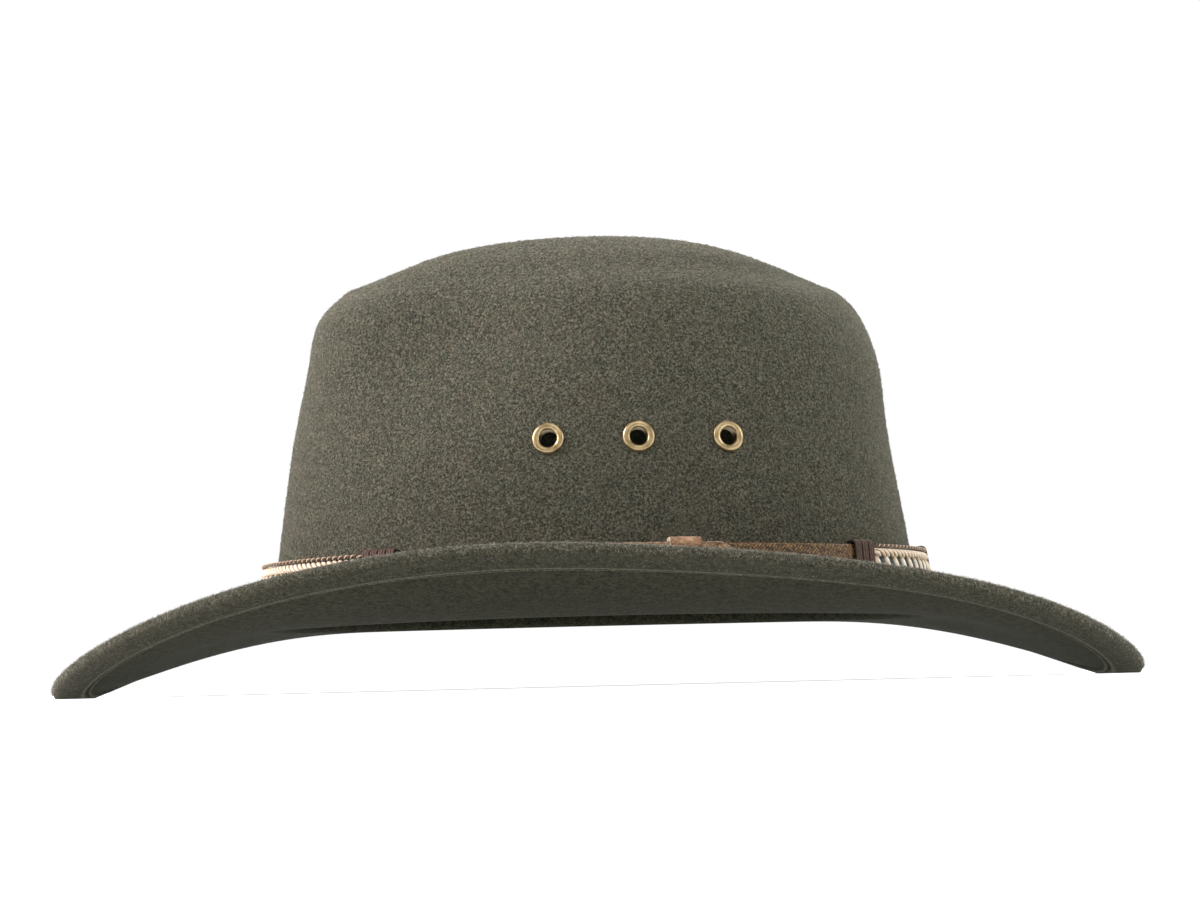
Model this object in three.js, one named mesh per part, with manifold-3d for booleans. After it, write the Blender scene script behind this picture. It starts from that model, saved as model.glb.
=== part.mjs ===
// A felt hat with a pinched and creased crown, a brim rolled up at the sides, brass
// eyelets in both sides of the crown, and a plaited band with lace wraps.
// Millimetres. The front points to -X, the back to +X, and Z is up. The hat rests on
// the front and the back of its brim, on a surface at Z = 0. Its near side faces -Y.
import * as THREE from "three";
import { mergeVertices } from "three/addons/utils/BufferGeometryUtils.js";
import Module from "manifold-3d";

const wasm = await Module();
wasm.setup();

// Felt
const feltThickness = 2;
const headLength = 207.6; // outside of the crown at its foot, front to back
const headWidth = 172; // outside of the crown at its foot, side to side
const headEgg = 0.03; // how much wider the oval is at the back than at the middle
const crownHeight = 120; // from the end of the bend to the top of the open crown
const bendRadius = 2; // between the crown and the brim
const brimLength = 345.6;
const brimWidth = 304;
const brimDrop = 18.6; // from the foot of the crown to the edge at the front and back
const sideLift = 36.2; // from the edge at the front and back to the edge at the sides
const frontShoulderLift = -1; // added to the edge between the front and the sides
const backShoulderLift = 4.6;
const edgeSkew = 8.9; // the edge leans up towards the front and down towards the back
const footArch = 1.2; // the foot is this much higher at the sides than at the ends
const weltWidth = 10; // the edge is folded under by this much
const pressedFlat = 1.2; // taken off the thickness where the hat rests

// Dents of the crown
const creaseLength = 156;
const creaseDepth = 23;
const creaseFrontWidth = 20; // half width at its front end
const creaseBackWidth = 29;
const pinchDepth = 11;
const pinchForward = 47; // its middle in front of the hat's middle
const pinchHeight = 86; // its middle above the foot
const pinchLength = 36; // half length along the slanting dent
const pinchWidth = 24; // half width across it
const pinchSlant = 40; // degrees, rising towards the back
const noseWidth = 10; // half width of the ridge between the two pinches

// Eyelets
const eyeletSpacing = 26.9;
const eyeletBack = 12.6; // the middle one behind the hat's middle
const eyeletHeight = 51.6; // above the foot
const flangeDiameter = 9.7;
const boreDiameter = 5.2;
const eyeletMetal = 0.4;
const flangeHeight = 1.1; // above the felt
const eyeletSeat = 0.4; // both flanges are pressed into the felt by this much
const eyeletClearance = 0.3;

// Band
const bandHeight = 16;
const bandRise = 0.8; // its lower edge above the bend of the felt
const plaitThickness = 4.9;
const strapThickness = 3.6;
const plaitCorner = 1.5; // radius
const strapCorner = 0.8;
const bandGap = 0.3; // between the felt, the band and what is round it
const laceThickness = 1.1;
const laceWidth = 3.1;
const laceLean = 2; // a turn of lace leans by this much over the height of the band
const keeperWidth = 9.6;
const keeperThickness = 1.2;
const tabLength = 52;
const tabThickness = 1.2;
const tabTaper = 4; // the tab is cut narrower over this length at its end
const tabCut = 2.5; // and loses this much of its height above and below

// Angles round the hat in degrees: the back is 0, the far side 90 and the front 180.
const frontWrapAngle = 231.8;
const backWrapAngle = 319.6;
const rearWrapAngle = 360;
const keeperAngle = 283.9;
const tabEndAngle = 292.4;
const frontWrapTurns = 4;
const backWrapTurns = 3;
const rearWrapTurns = 6;

// Powers that shape the curves: 1 is straight, and more bends later
const creaseEndPower = 4;
const creaseFloorPower = 1.5;
const edgeRisePower = 1.7;
const brimFallPower = 1.9;
const fallSpreadPower = 4;
const brimRisePower = 1.8;

// Fineness of the faceted surfaces
const feltSides = 60;
const crownRings = 16;
const bendShares = [0.4, 0.75, 1];
const brimShares = [0.15, 0.33, 0.52, 0.7];
const edgeSteps = 4;
const eyeletSides = 12;
const cutterSides = 16;
const bandStep = 6; // degrees
const keeperSteps = 4;
const weldDistance = 1e-4;

const felt = new THREE.MeshStandardMaterial({ color: 0x55554a, roughness: 0.95, metalness: 0 });
const brass = new THREE.MeshStandardMaterial({ color: 0xa98f5f, roughness: 0.35, metalness: 1 });
const plait = new THREE.MeshStandardMaterial({ color: 0xdfc6a2, roughness: 0.7, metalness: 0 });
const strap = new THREE.MeshStandardMaterial({ color: 0x8a6236, roughness: 0.7, metalness: 0 });
const lace = new THREE.MeshStandardMaterial({ color: 0x4a2a24, roughness: 0.6, metalness: 0 });
const tan = new THREE.MeshStandardMaterial({ color: 0xb98a5c, roughness: 0.8, metalness: 0 });

const radians = Math.PI / 180;
const edgeTopAtEnds = 2 * feltThickness - pressedFlat;
const footAtEnds = edgeTopAtEnds + brimDrop;
const crownTop = footAtEnds + bendRadius + crownHeight;

// Side view of the open crown. The radii at its front and back are shares of the
// head's, and the heights are shares of the crown's.
const crownRows = [
  { height: 0.0, front: 1.0, back: 1.0 },
  { height: 0.22, front: 0.967, back: 0.957 },
  { height: 0.45, front: 0.928, back: 0.914 },
  { height: 0.65, front: 0.88, back: 0.889 },
  { height: 0.785, front: 0.845, back: 0.828 },
  { height: 0.86, front: 0.766, back: 0.732 },
  { height: 0.917, front: 0.672, back: 0.663 },
  { height: 0.966, front: 0.545, back: 0.529 },
  { height: 0.992, front: 0.273, back: 0.267 },
  { height: 1.0, front: 0.0, back: 0.0 },
];
const frontProfile = new THREE.SplineCurve(
  crownRows.map(({ front, height }) => new THREE.Vector2(front, height)),
);
const backProfile = new THREE.SplineCurve(
  crownRows.map(({ back, height }) => new THREE.Vector2(back, height)),
);

// The crown's radius and height as shares, between the front and the back profile.
function crownProfile(angle, share) {
  const front = frontProfile.getPoint(share);
  return front.lerp(backProfile.getPoint(share), (1 + Math.cos(angle)) / 2);
}

// The oval of the head in plan, grown outwards by a length.
function headOval(angle, grow = 0) {
  const x = (headLength / 2 + grow) * Math.cos(angle);
  const y = (headWidth / 2 + grow) * Math.sin(angle) * (1 + headEgg * Math.cos(angle));
  return new THREE.Vector2(x, y);
}

function footHeight(angle) {
  return footAtEnds + footArch * Math.sin(angle) ** 2;
}

// Depth of the long dent in the top, narrow at the front and wide at the back.
function creaseAt(x, y) {
  const along = x / (creaseLength / 2);
  if (Math.abs(along) >= 1) return 0;
  const width = THREE.MathUtils.lerp(creaseFrontWidth, creaseBackWidth, (along + 1) / 2);
  const floor = (1 - along ** creaseEndPower) ** creaseFloorPower;
  return creaseDepth * floor * Math.exp(-((y / width) ** 2));
}

// Depth of the dent in each side of the crown's front.
function pinchAt(x, z) {
  const back = x + pinchForward;
  const up = z - footAtEnds - pinchHeight;
  const slant = pinchSlant * radians;
  const along = (back * Math.cos(slant) + up * Math.sin(slant)) / pinchLength;
  const across = (up * Math.cos(slant) - back * Math.sin(slant)) / pinchWidth;
  return pinchDepth * Math.exp(-(along ** 2) - across ** 2);
}

// Outside of the crown. The share runs from 0 at its foot to 1 at its top.
function crown(angle, share) {
  const row = crownProfile(angle, share);
  const plan = headOval(angle).multiplyScalar(row.x);
  const z = THREE.MathUtils.lerp(footHeight(angle) + bendRadius, crownTop, row.y);
  const side = plan.y / Math.hypot(plan.y, noseWidth);
  const y = plan.y - side * pinchAt(plan.x, z);
  return new THREE.Vector3(plan.x, y, z - creaseAt(plan.x, plan.y));
}

// Upper side of the bend, from the crown at share 0 to the brim at share 1.
function bend(angle, share) {
  const turn = (share * Math.PI) / 2;
  const plan = headOval(angle, bendRadius * (1 - Math.cos(turn)));
  return new THREE.Vector3(plan.x, plan.y, footHeight(angle) + bendRadius * (1 - Math.sin(turn)));
}

// Height of the upper side of the brim's edge.
function edgeHeight(angle) {
  const across = Math.abs(Math.sin(angle)) ** edgeRisePower;
  const shoulder = Math.cos(angle) < 0 ? frontShoulderLift : backShoulderLift;
  const skew = edgeSkew * Math.cos(angle) * across;
  return edgeTopAtEnds + sideLift * across - skew + shoulder * Math.sin(2 * angle) ** 2;
}

// Upper side of the brim, from the bend at share 0 to the edge at share 1. It falls
// in a round curve at the front and back, and sweeps up more and more at the sides.
function brim(angle, share) {
  const edge = new THREE.Vector2(
    (brimLength / 2 - feltThickness) * Math.cos(angle),
    (brimWidth / 2 - feltThickness) * Math.sin(angle),
  );
  const plan = headOval(angle, bendRadius).lerp(edge, share);
  const foot = footHeight(angle);
  const fall = (edgeTopAtEnds - foot) * Math.abs(Math.cos(angle)) ** fallSpreadPower;
  const rise = edgeHeight(angle) - foot - fall;
  const falling = fall * Math.sin((share * Math.PI) / 2) ** brimFallPower;
  return new THREE.Vector3(plan.x, plan.y, foot + falling + rise * share ** brimRisePower);
}

const slopeStep = 0.002; // radians or share, for working out directions

// The unit vector that points out of the upper or outer side of a felt surface.
function outOf(surface, angle, share) {
  if (surface === crown && share === 1) return new THREE.Vector3(0, 0, 1);
  const step = slopeStep;
  const around = surface(angle + step, share).sub(surface(angle - step, share));
  const along = surface(angle, Math.min(share + step, 1));
  along.sub(surface(angle, Math.max(share - step, 0)));
  if (surface === crown) along.negate();
  return along.cross(around).normalize();
}

// A place at a distance out of a felt surface. A negative distance is in the felt.
function offset(surface, angle, share, distance) {
  return surface(angle, share).addScaledVector(outOf(surface, angle, share), distance);
}

// Share of the brim at which the folded edge begins.
function weltShare(angle) {
  const inner = headOval(angle, bendRadius);
  const edge = brim(angle, 1);
  return 1 - weltWidth / inner.distanceTo(new THREE.Vector2(edge.x, edge.y));
}

// The felt's section as rings of points, from the top of the crown down its outside,
// over the brim, round the folded edge and back to the top inside.
function feltRings() {
  const rings = [];
  const ring = (place) => {
    const points = [];
    for (let i = 0; i < feltSides; i++) {
      const point = place((i / feltSides) * 2 * Math.PI);
      point.z = Math.max(point.z, 0);
      points.push(point);
    }
    rings.push(points);
  };
  const skin = (surface, shares, distance) => {
    for (const share of shares) ring((angle) => offset(surface, angle, share, distance));
  };
  const crownShares = [];
  for (let i = 1; i <= crownRings; i++) crownShares.push(1 - i / crownRings);

  skin(crown, crownShares, 0);
  skin(bend, bendShares, 0);
  skin(brim, brimShares, 0);
  ring((angle) => brim(angle, weltShare(angle)));
  for (let i = 0; i <= edgeSteps; i++) {
    const turn = (i / edgeSteps) * Math.PI;
    ring((angle) => {
      const outwards = brim(angle, 1).sub(brim(angle, 1 - slopeStep)).normalize();
      const depth = feltThickness * (1 - Math.cos(turn));
      const point = offset(brim, angle, 1, -depth);
      return point.addScaledVector(outwards, feltThickness * Math.sin(turn));
    });
  }
  ring((angle) => offset(brim, angle, weltShare(angle), -2 * feltThickness));
  ring((angle) => offset(brim, angle, weltShare(angle), -feltThickness));
  skin(brim, brimShares.toReversed(), -feltThickness);
  skin(bend, bendShares.toReversed(), -feltThickness);
  skin(crown, crownShares.toReversed(), -feltThickness);
  return rings;
}

function geometryFrom(positions, index) {
  const geometry = new THREE.BufferGeometry();
  geometry.setAttribute("position", new THREE.Float32BufferAttribute(positions, 3));
  geometry.setIndex(index);
  geometry.computeVertexNormals();
  return geometry;
}

// Two triangles between each pair of neighbours in two rings of equally many points.
function stitch(index, count, here, next) {
  for (let i = 0; i < count; i++) {
    const j = (i + 1) % count;
    index.push(here + i, next + i, here + j, here + j, next + i, next + j);
  }
}

// A closed body through rings, whose ends are fans round a point. Without a point an
// end is a fan over its ring.
function loft(rings, firstPoint, lastPoint) {
  const count = rings[0].length;
  const positions = rings.flat().flatMap((p) => [p.x, p.y, p.z]);
  const index = [];
  for (let r = 0; r + 1 < rings.length; r++) stitch(index, count, r * count, (r + 1) * count);
  const close = (start, point, first) => {
    const tip = point ? positions.length / 3 : start;
    if (point) positions.push(point.x, point.y, point.z);
    for (let i = point ? 0 : 1; i < (point ? count : count - 1); i++) {
      const here = start + i;
      const next = start + ((i + 1) % count);
      index.push(tip, first ? here : next, first ? next : here);
    }
  };
  close(0, firstPoint, true);
  close((rings.length - 1) * count, lastPoint, false);
  return geometryFrom(positions, index);
}

// A body through rings, of which the last joins the first.
function loop(rings) {
  const count = rings[0].length;
  const positions = rings.flat().flatMap((p) => [p.x, p.y, p.z]);
  const index = [];
  for (let r = 0; r < rings.length; r++) {
    stitch(index, count, r * count, ((r + 1) % rings.length) * count);
  }
  return geometryFrom(positions, index);
}

function solidFrom(geometry) {
  const bare = geometry.clone();
  bare.deleteAttribute("normal");
  bare.deleteAttribute("uv");
  const merged = mergeVertices(bare, weldDistance);
  const vertProperties = merged.attributes.position.array;
  const triVerts = new Uint32Array(merged.index.array);
  return new wasm.Manifold(new wasm.Mesh({ numProp: 3, vertProperties, triVerts }));
}

function geometryOf(solid) {
  const mesh = solid.getMesh();
  return geometryFrom(Array.from(mesh.vertProperties), Array.from(mesh.triVerts));
}

const halvings = 30;

// Share of the crown's profile at a height above the end of the bend.
function shareAt(angle, height) {
  let low = 0;
  let high = 1;
  for (let i = 0; i < halvings; i++) {
    const middle = (low + high) / 2;
    if (crownProfile(angle, middle).y * crownHeight < height) low = middle;
    else high = middle;
  }
  return low;
}

const placingRounds = 8;

// Where an eyelet sits, with its Z axis pointing out of the felt. The side is -1 for
// the near side and 1 for the far side.
function eyeletPlace(x, side) {
  let angle = (side * Math.PI) / 2;
  let share = 0;
  for (let i = 0; i < placingRounds; i++) {
    share = shareAt(angle, eyeletHeight - bendRadius);
    angle = side * Math.acos(x / ((headLength / 2) * crownProfile(angle, share).x));
  }
  const place = new THREE.Object3D();
  place.position.copy(crown(angle, share));
  place.quaternion.setFromUnitVectors(new THREE.Vector3(0, 0, 1), outOf(crown, angle, share));
  place.updateMatrix();
  return place;
}

// The turned section runs from the bore's inner end under the flares, along the
// barrel, round the rolled flange and back down the bore. Heights are above the felt.
function eyeletGeometry() {
  const bore = boreDiameter / 2;
  const barrel = bore + eyeletMetal;
  const rim = flangeDiameter / 2;
  const crest = (bore + rim) / 2;
  const outer = eyeletClearance - eyeletSeat;
  const inner = eyeletSeat - feltThickness - eyeletClearance;
  const section = [
    { radius: bore, height: inner - eyeletMetal },
    { radius: rim, height: inner - eyeletMetal },
    { radius: rim, height: inner },
    { radius: barrel, height: inner },
    { radius: barrel, height: outer },
    { radius: rim - eyeletMetal / 4, height: outer },
    { radius: rim, height: outer + eyeletMetal },
    { radius: crest, height: flangeHeight },
    { radius: bore + eyeletMetal / 2, height: flangeHeight - eyeletMetal / 2 },
    { radius: bore, height: outer + eyeletMetal },
  ].map((row) => new THREE.Vector2(row.radius, row.height));
  return new THREE.LatheGeometry([...section, section[0]], eyeletSides).rotateX(Math.PI / 2);
}

// What one eyelet takes from the felt: a hole and a seat for the flange on each side.
function eyeletCutter() {
  const reach = feltThickness;
  const disc = (radius, low, high) => {
    const geometry = new THREE.CylinderGeometry(radius, radius, high - low, cutterSides);
    return solidFrom(geometry.rotateX(Math.PI / 2).translate(0, 0, (low + high) / 2));
  };
  const seat = flangeDiameter / 2 + eyeletClearance;
  const hole = boreDiameter / 2 + eyeletMetal + eyeletClearance;
  return disc(hole, -feltThickness - reach, reach)
    .add(disc(seat, -eyeletSeat, reach))
    .add(disc(seat, -feltThickness - reach, eyeletSeat - feltThickness));
}

// A place on the band, at a distance out of the felt and a height above the band's
// lower edge. Below the bend it follows the wall straight down.
function onBand(degrees, out, up) {
  const height = bandRise + up;
  const angle = degrees * radians;
  const point = offset(crown, angle, shareAt(angle, Math.max(height, 0)), out);
  point.z += Math.min(height, 0);
  return point;
}

const bandThickness = Math.max(plaitThickness, strapThickness);

// Degrees taken by a length along the band's outside.
function degreesFor(length, degrees) {
  const here = onBand(degrees - 0.5, bandThickness, 0);
  return length / here.distanceTo(onBand(degrees + 0.5, bandThickness, 0));
}

const wraps = [
  { name: "lace_wrap_front", angle: frontWrapAngle, turns: frontWrapTurns, lean: -laceLean },
  { name: "lace_wrap_back", angle: backWrapAngle, turns: backWrapTurns, lean: laceLean },
  { name: "lace_wrap_rear", angle: rearWrapAngle, turns: rearWrapTurns, lean: laceLean },
];

const passRoom = 1; // the band changes this far from the edges of what is round it

// What is round the band: its width along the band, its thickness, and how far it
// presses the outside of the band in. A lace lies flush with the band beside it.
const roundBand = [
  ...wraps.map(({ angle, turns }) => {
    const width = turns * laceWidth + laceLean;
    return { angle, width, thickness: laceThickness, pressed: laceThickness + bandGap };
  }),
  { angle: keeperAngle, width: keeperWidth, thickness: keeperThickness, pressed: 0 },
].map((row) => ({ ...row, half: degreesFor(row.width / 2 + passRoom, row.angle) }));

// How far the inside and the outside of the band stand out of the felt.
function bandSides(degrees, thickness) {
  const row = roundBand.find(({ angle, half }) => {
    const away = THREE.MathUtils.euclideanModulo(degrees - angle + 180, 360) - 180;
    return Math.abs(away) < half;
  });
  const outer = bandGap + thickness;
  if (!row) return { inner: bandGap, outer };
  return {
    inner: 2 * bandGap + row.thickness,
    outer: Math.min(outer, bandGap + bandThickness - row.pressed),
  };
}

const sideStep = 0.3; // degrees over which the sides of the band change

// Angles along a stretch of band: even steps, and a step at each change of its sides.
function bandAngles(from, to) {
  const angles = [];
  const steps = Math.ceil((to - from) / bandStep);
  for (let i = 0; i <= steps; i++) angles.push(from + ((to - from) * i) / steps);
  for (const { angle, half } of roundBand) {
    for (const turn of [-360, 0, 360]) {
      for (const edge of [-half, half]) {
        angles.push(angle + turn + edge - sideStep, angle + turn + edge + sideStep);
      }
    }
  }
  const inside = angles.filter((angle) => angle >= from && angle <= to).sort((a, b) => a - b);
  return inside.filter((angle, i) => i === 0 || angle - inside[i - 1] > sideStep / 3);
}

// An upright section with rounded outer corners. Each point is a distance out of the
// felt and a height.
function roundedSection(inner, outer, bottom, top, radius) {
  const cut = radius * (1 - Math.SQRT1_2);
  return [
    [inner, bottom],
    [outer - radius, bottom],
    [outer - cut, bottom + cut],
    [outer, bottom + radius],
    [outer, top - radius],
    [outer - cut, top - cut],
    [outer - radius, top],
    [inner, top],
  ];
}

function alongBand(angles, sectionAt) {
  return angles.map((angle) => sectionAt(angle).map(([out, up]) => onBand(angle, out, up)));
}

// The ends of the plait and the strap meet inside the front and back lace wraps.
function bandStretch(from, to, thickness, radius) {
  const half = degreesFor(bandGap / 2, from);
  const rings = alongBand(bandAngles(from + half, to - half), (angle) => {
    const { inner, outer } = bandSides(angle, thickness);
    return roundedSection(inner, outer, 0, bandHeight, Math.min(radius, (outer - inner) / 2));
  });
  return loft(rings);
}

// One turn of lace, as shares of its width and thickness
const laceSection = [
  { along: 0.08, thickness: 0.6 },
  { along: 0.35, thickness: 1 },
  { along: 0.65, thickness: 1 },
  { along: 0.92, thickness: 0.6 },
];

// A lace wound round the band: a closed sleeve with one bulge for each turn.
function wrapGeometry({ angle, turns, lean }) {
  const low = -bandGap;
  const high = bandHeight + bandGap;
  const back = bandGap + laceThickness;
  const front = bandGap + bandThickness - laceThickness;
  const ring = (along, thickness) => {
    const section = roundedSection(
      back - thickness,
      front + thickness,
      low - thickness,
      high + thickness,
      laceThickness,
    );
    return section.map(([out, up]) => {
      const leaning = along + lean * ((up - low) / (high - low) - 0.5);
      return onBand(angle + degreesFor(leaning, angle), out, up);
    });
  };
  const half = (turns * laceWidth) / 2;
  const rings = [];
  for (let turn = 0; turn < turns; turn++) {
    for (const row of laceSection) {
      rings.push(ring((turn + row.along) * laceWidth - half, row.thickness * laceThickness));
    }
  }
  for (let turn = turns; turn >= 0; turn--) rings.push(ring(turn * laceWidth - half, 0));
  return loop(rings);
}

const tabInner = bandGap + strapThickness + bandGap;

// A tab that lies on the strap and passes under the keeper.
function tabGeometry() {
  const outer = tabInner + tabThickness;
  const taper = degreesFor(tabTaper, tabEndAngle);
  const start = tabEndAngle - degreesFor(tabLength, keeperAngle);
  const angles = [...bandAngles(start, tabEndAngle - taper), tabEndAngle];
  const rings = alongBand(angles, (angle) => {
    const cut = angle === tabEndAngle ? tabCut : 0;
    return roundedSection(tabInner, outer, cut, bandHeight - cut, tabThickness / 3);
  });
  return loft(rings);
}

// The keeper is a leather loop round the strap and the tab.
function keeperGeometry() {
  const front = tabInner + tabThickness + bandGap;
  const section = (thickness) =>
    roundedSection(
      bandGap + keeperThickness - thickness,
      front + thickness,
      -bandGap - thickness,
      bandHeight + bandGap + thickness,
      keeperThickness / 2,
    );
  const width = degreesFor(keeperWidth, keeperAngle);
  const angles = [];
  for (let i = 0; i <= keeperSteps; i++) {
    angles.push(keeperAngle + (i / keeperSteps - 0.5) * width);
  }
  return loop([
    ...alongBand(angles, () => section(keeperThickness)),
    ...alongBand(angles.toReversed(), () => section(0)),
  ]);
}

const hat = new THREE.Group();

function add(name, geometry, material) {
  const mesh = new THREE.Mesh(geometry, material);
  mesh.name = name;
  hat.add(mesh);
  return mesh;
}

const eyelets = [];
for (const [sideName, side] of [
  ["near", -1],
  ["far", 1],
]) {
  for (const [placeName, step] of [
    ["front", -1],
    ["middle", 0],
    ["back", 1],
  ]) {
    const place = eyeletPlace(eyeletBack + step * eyeletSpacing, side);
    eyelets.push({ name: `eyelet_${sideName}_${placeName}`, place });
  }
}

const insideTop = offset(crown, 0, 1, -feltThickness);
let feltSolid = solidFrom(loft(feltRings(), crown(0, 1), insideTop));
for (const { place } of eyelets) {
  feltSolid = feltSolid.subtract(eyeletCutter().transform(place.matrix.elements));
}
add("felt_body", geometryOf(feltSolid), felt);

for (const { name, place } of eyelets) {
  const eyelet = add(name, eyeletGeometry(), brass);
  eyelet.position.copy(place.position);
  eyelet.quaternion.copy(place.quaternion);
}

const plaitEnd = frontWrapAngle + 360;
add("band_plait", bandStretch(backWrapAngle, plaitEnd, plaitThickness, plaitCorner), plait);
add("band_strap", bandStretch(frontWrapAngle, backWrapAngle, strapThickness, strapCorner), strap);
for (const wrap of wraps) add(wrap.name, wrapGeometry(wrap), lace);
add("strap_tab", tabGeometry(), tan);
add("strap_keeper", keeperGeometry(), tan);

export default hat;
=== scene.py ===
"""A felt hat with a pinched and creased crown, a rolled brim, brass eyelets and a plaited band.

Metres. The front points to -X, the back to +X and Z is up. The near side faces -Y.
"""

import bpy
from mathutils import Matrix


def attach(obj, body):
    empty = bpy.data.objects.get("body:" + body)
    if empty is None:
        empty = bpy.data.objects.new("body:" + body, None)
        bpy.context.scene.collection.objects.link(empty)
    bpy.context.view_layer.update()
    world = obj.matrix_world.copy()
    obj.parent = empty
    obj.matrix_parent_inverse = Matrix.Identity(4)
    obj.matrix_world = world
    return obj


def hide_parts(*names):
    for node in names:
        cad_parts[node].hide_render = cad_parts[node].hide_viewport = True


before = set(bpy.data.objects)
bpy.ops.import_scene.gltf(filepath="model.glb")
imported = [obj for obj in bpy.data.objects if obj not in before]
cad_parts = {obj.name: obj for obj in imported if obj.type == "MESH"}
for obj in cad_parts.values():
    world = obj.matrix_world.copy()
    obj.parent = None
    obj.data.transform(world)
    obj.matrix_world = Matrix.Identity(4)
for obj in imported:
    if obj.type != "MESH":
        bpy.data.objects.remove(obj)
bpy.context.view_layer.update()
eyelet_nodes = [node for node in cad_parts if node.startswith("eyelet")]

import math

import bmesh
import bpy
import numpy as np
from mathutils import Matrix, Vector

mm = 0.001
full_turn = 2 * math.pi

# Felt
felt_thickness = 2 * mm
head_length = 207.6 * mm
head_width = 172 * mm
head_egg = 0.03
crown_height = 120 * mm
bend_radius = 2 * mm
brim_length = 345.6 * mm
brim_width = 304 * mm
brim_drop = 18.6 * mm
side_lift = 36.2 * mm
front_shoulder_lift = -1 * mm
back_shoulder_lift = 4.6 * mm
edge_skew = 8.9 * mm
edge_roundness = 1.7
brim_rise_power = 1.8
brim_fall_power = 1.9
fall_spread_power = 4
foot_arch = 1.2 * mm
welt_width = 10 * mm
pressed_flat = 1.2 * mm

# Dents of the crown
crease_length = 156 * mm
crease_depth = 23 * mm
crease_front_width = 20 * mm
crease_back_width = 29 * mm
pinch_depth = 11 * mm
pinch_forward = 47 * mm
pinch_height = 86 * mm
pinch_length = 36 * mm
pinch_width = 24 * mm
pinch_slant = math.radians(40)
nose_width = 10 * mm

# Eyelets
eyelet_seat = 0.4 * mm
eyelet_metal = 0.4 * mm
flange_height = 1.1 * mm
flange_width = 9.7 * mm
bore_width = 5.2 * mm

# Band
band_height = 16 * mm
band_rise = 0.8 * mm
plait_thickness = 4.9 * mm
strap_thickness = 3.6 * mm
band_gap = 0.3 * mm
lace_thickness = 1.1 * mm
lace_width = 3.1 * mm
lace_lean = 2 * mm
keeper_width = 9.6 * mm
keeper_thickness = 1.2 * mm
tab_length = 52 * mm
tab_thickness = 1.2 * mm
tab_taper = 4 * mm
tab_cut = 2.5 * mm

# Angles round the hat in degrees: the back is 0, the far side 90 and the front 180.
front_wrap_angle = 231.8
back_wrap_angle = 319.6
rear_wrap_angle = 360
keeper_angle = 283.9
tab_end_angle = 292.4

edge_top_at_ends = 2 * felt_thickness - pressed_flat
foot_at_ends = edge_top_at_ends + brim_drop
crown_top = foot_at_ends + bend_radius + crown_height

# Side view of the open crown: height, radius at the front and radius at the back, as
# shares of the crown's height and of the head.
crown_rows = np.array([
    [0.0, 1.0, 1.0],
    [0.22, 0.967, 0.957],
    [0.45, 0.928, 0.914],
    [0.65, 0.88, 0.889],
    [0.785, 0.845, 0.828],
    [0.86, 0.766, 0.732],
    [0.917, 0.672, 0.663],
    [0.966, 0.545, 0.529],
    [0.992, 0.273, 0.267],
    [1.0, 0.0, 0.0],
])


def crown_profile(share):
    """Height, front radius and back radius on a smooth curve through the rows."""
    last = len(crown_rows) - 1
    place = np.clip(share, 0, 1) * last
    row = np.minimum(place.astype(int), last - 1)
    t = (place - row)[..., None]
    before, start = crown_rows[np.maximum(row - 1, 0)], crown_rows[row]
    end, after = crown_rows[row + 1], crown_rows[np.minimum(row + 2, last)]
    leave, arrive = (end - before) / 2, (after - start) / 2
    cubic = (2 * start - 2 * end + leave + arrive) * t**3
    square = (3 * end - 3 * start - 2 * leave - arrive) * t**2
    return cubic + square + leave * t + start


def head_oval(angle, grow=0.0):
    """The egg-shaped outline of the crown's foot, grown by a distance."""
    x = (head_length / 2 + grow) * np.cos(angle)
    y = (head_width / 2 + grow) * np.sin(angle) * (1 + head_egg * np.cos(angle))
    return x, y


def foot_height(angle):
    """Height of the brim where it meets the crown, a little higher at the sides."""
    return foot_at_ends + foot_arch * np.sin(angle) ** 2


def crease_at(x, y):
    """Depth of the long dent in the top, narrow at the front and wide at the back."""
    along = np.clip(x / (crease_length / 2), -1, 1)
    width = crease_front_width + (crease_back_width - crease_front_width) * (along + 1) / 2
    return crease_depth * (1 - along**4) ** 1.5 * np.exp(-((y / width) ** 2))


def pinch_at(x, z):
    """Depth of the dent in each side of the crown's front."""
    back = x + pinch_forward
    up = z - foot_at_ends - pinch_height
    along = (back * math.cos(pinch_slant) + up * math.sin(pinch_slant)) / pinch_length
    across = (up * math.cos(pinch_slant) - back * math.sin(pinch_slant)) / pinch_width
    return pinch_depth * np.exp(-(along**2) - across**2)


def crown(angle, share):
    """Outside of the crown. The share runs from 0 at its foot to 1 at its top."""
    height, front, back = np.moveaxis(crown_profile(share), -1, 0)
    radius = front + (back - front) * (1 + np.cos(angle)) / 2
    x, y = head_oval(angle)
    x, y = x * radius, y * radius
    low = foot_height(angle) + bend_radius
    z = low + (crown_top - low) * height
    pinched = y - y / np.hypot(y, nose_width) * pinch_at(x, z)
    return np.stack([x, pinched, z - crease_at(x, y)], -1)


def bend(angle, share):
    """Upper side of the bend, from the crown at share 0 to the brim at share 1."""
    turn = share * math.pi / 2
    x, y = head_oval(angle, bend_radius * (1 - np.cos(turn)))
    return np.stack([x, y, foot_height(angle) + bend_radius * (1 - np.sin(turn))], -1)


def edge_height(angle):
    """Height of the brim's edge: rolled up at the sides, more towards the front."""
    across = np.abs(np.sin(angle)) ** edge_roundness
    shoulder = np.where(np.cos(angle) < 0, front_shoulder_lift, back_shoulder_lift)
    skew = edge_skew * np.cos(angle) * across
    return edge_top_at_ends + side_lift * across - skew + shoulder * np.sin(2 * angle) ** 2


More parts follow.
